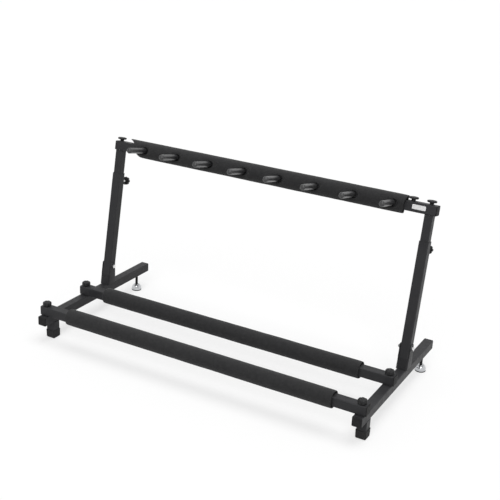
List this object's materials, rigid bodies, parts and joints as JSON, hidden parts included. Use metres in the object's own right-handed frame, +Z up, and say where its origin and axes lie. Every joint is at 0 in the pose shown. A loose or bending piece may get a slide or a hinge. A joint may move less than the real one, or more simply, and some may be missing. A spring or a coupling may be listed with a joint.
{
  "type": "folding racket rack",
  "caption": "Floor-standing steel tube rack with foam-covered crossbars and a top bar with fingers that keep rackets apart; its upper frame folds forward and slides in height.",
  "frame": {"origin": "on the floor, under the middle of the rack's bounding box", "axes": "+X to the right along the crossbars, +Y to the back, away from the fingers, +Z up"},
  "size_m": [0.9588, 0.48, 0.4984],
  "materials": {
    "black_powder_coat": "satin",
    "foam": "matte",
    "finger_cover": "satin",
    "rubber_foot": "matte",
    "knob_plastic": "satin",
    "cap_plastic": "matte",
    "chrome": "polished",
    "zinc_plate": "satin",
    "label": "satin"
  },
  "bodies": {
    "base": {"left_leg": "black_powder_coat", "left_leg_front_cap": "cap_plastic", "left_leg_rear_cap": "cap_plastic", "left_foot_post": "black_powder_coat", "left_rubber_foot": "rubber_foot", "left_hinge_bracket": "black_powder_coat", "left_hinge_bolt": "zinc_plate", "left_hinge_nut": "zinc_plate", "right_leg": "black_powder_coat", "right_leg_front_cap": "cap_plastic", "right_leg_rear_cap": "cap_plastic", "right_foot_post": "black_powder_coat", "right_rubber_foot": "rubber_foot", "right_hinge_bracket": "black_powder_coat", "right_hinge_bolt": "zinc_plate", "right_hinge_nut": "zinc_plate", "front_bar": "black_powder_coat", "front_bar_left_cap": "cap_plastic", "front_bar_right_cap": "cap_plastic", "front_foam": "foam", "rear_bar": "black_powder_coat", "rear_bar_left_cap": "cap_plastic", "rear_bar_right_cap": "cap_plastic", "rear_foam": "foam"},
    "uprights": {"left_outer_upright": "black_powder_coat", "right_outer_upright": "black_powder_coat"},
    "top_frame": {"left_inner_upright": "black_powder_coat", "right_inner_upright": "black_powder_coat", "left_upright_plug": "zinc_plate", "right_upright_plug": "zinc_plate", "top_bar": "black_powder_coat", "top_bar_cap": "cap_plastic", "top_bar_spigot": "black_powder_coat", "end_sleeve": "black_powder_coat", "end_sleeve_cap": "cap_plastic", "top_foam": "foam", "label_plate": "label", "finger_cover_1": "finger_cover", "finger_cover_2": "finger_cover", "finger_cover_3": "finger_cover", "finger_cover_4": "finger_cover", "finger_cover_5": "finger_cover", "finger_cover_6": "finger_cover", "finger_cover_7": "finger_cover", "finger_cover_8": "finger_cover"},
    "front_left_clamp_knob_turning": {"front_left_clamp_knob": "knob_plastic"},
    "front_right_clamp_knob_turning": {"front_right_clamp_knob": "knob_plastic"},
    "rear_left_clamp_knob_turning": {"rear_left_clamp_knob": "knob_plastic"},
    "rear_right_clamp_knob_turning": {"rear_right_clamp_knob": "knob_plastic"},
    "left_height_knob_turning": {"left_height_knob": "knob_plastic"},
    "right_height_knob_turning": {"right_height_knob": "knob_plastic"},
    "top_left_knob_turning": {"top_left_knob": "knob_plastic"},
    "top_right_knob_turning": {"top_right_knob": "knob_plastic"},
    "sleeve_lock_knob_turning": {"sleeve_lock_knob": "knob_plastic"},
    "left_levelling_glide_turning": {"left_levelling_glide": "chrome"},
    "right_levelling_glide_turning": {"right_levelling_glide": "chrome"}
  },
  "joints": [
    {"name": "fold", "type": "hinge", "parent": "base", "child": "uprights", "pos_m": [0, 0.058, 0.1257], "axis": [1, 0, 0], "range_deg": [0, 100]},
    {"name": "height", "type": "slide", "parent": "uprights", "child": "top_frame", "axis": [0, 0.1754, 0.9845], "range_m": [-0.03, 0.14]},
    {"name": "front_left_clamp_knob_turn", "type": "hinge", "parent": "base", "child": "front_left_clamp_knob_turning", "pos_m": [-0.4578, -0.2155, 0.0991], "axis": [0, 0, 1], "range_deg": [0, 720]},
    {"name": "front_right_clamp_knob_turn", "type": "hinge", "parent": "base", "child": "front_right_clamp_knob_turning", "pos_m": [0.4602, -0.2155, 0.0991], "axis": [0, 0, 1], "range_deg": [0, 720]},
    {"name": "rear_left_clamp_knob_turn", "type": "hinge", "parent": "base", "child": "rear_left_clamp_knob_turning", "pos_m": [-0.4578, -0.0485, 0.0991], "axis": [0, 0, 1], "range_deg": [0, 720]},
    {"name": "rear_right_clamp_knob_turn", "type": "hinge", "parent": "base", "child": "rear_right_clamp_knob_turning", "pos_m": [0.4602, -0.0485, 0.0991], "axis": [0, 0, 1], "range_deg": [0, 720]},
    {"name": "left_height_knob_turn", "type": "hinge", "parent": "uprights", "child": "left_height_knob_turning", "pos_m": [-0.4578, 0.13424, 0.3627], "axis": [0, 0.9845, -0.1754], "range_deg": [0, 720]},
    {"name": "right_height_knob_turn", "type": "hinge", "parent": "uprights", "child": "right_height_knob_turning", "pos_m": [0.4602, 0.13424, 0.3627], "axis": [0, 0.9845, -0.1754], "range_deg": [0, 720]},
    {"name": "top_left_knob_turn", "type": "hinge", "parent": "top_frame", "child": "top_left_knob_turning", "pos_m": [-0.4578, 0.1218, 0.48386], "axis": [0, 0.1754, 0.9845], "range_deg": [0, 720]},
    {"name": "top_right_knob_turn", "type": "hinge", "parent": "top_frame", "child": "top_right_knob_turning", "pos_m": [0.4602, 0.1218, 0.48386], "axis": [0, 0.1754, 0.9845], "range_deg": [0, 720]},
    {"name": "sleeve_lock_knob_turn", "type": "hinge", "parent": "top_frame", "child": "sleeve_lock_knob_turning", "pos_m": [0.4137, 0.1218, 0.48386], "axis": [0, 0.1754, 0.9845], "range_deg": [0, 720]},
    {"name": "left_levelling_glide_turn", "type": "hinge", "parent": "base", "child": "left_levelling_glide_turning", "pos_m": [-0.4578, 0.195, 0], "axis": [0, 0, 1], "range_deg": [-1080, 1080]},
    {"name": "right_levelling_glide_turn", "type": "hinge", "parent": "base", "child": "right_levelling_glide_turning", "pos_m": [0.4602, 0.195, 0], "axis": [0, 0, 1], "range_deg": [-1080, 1080]}
  ]
}
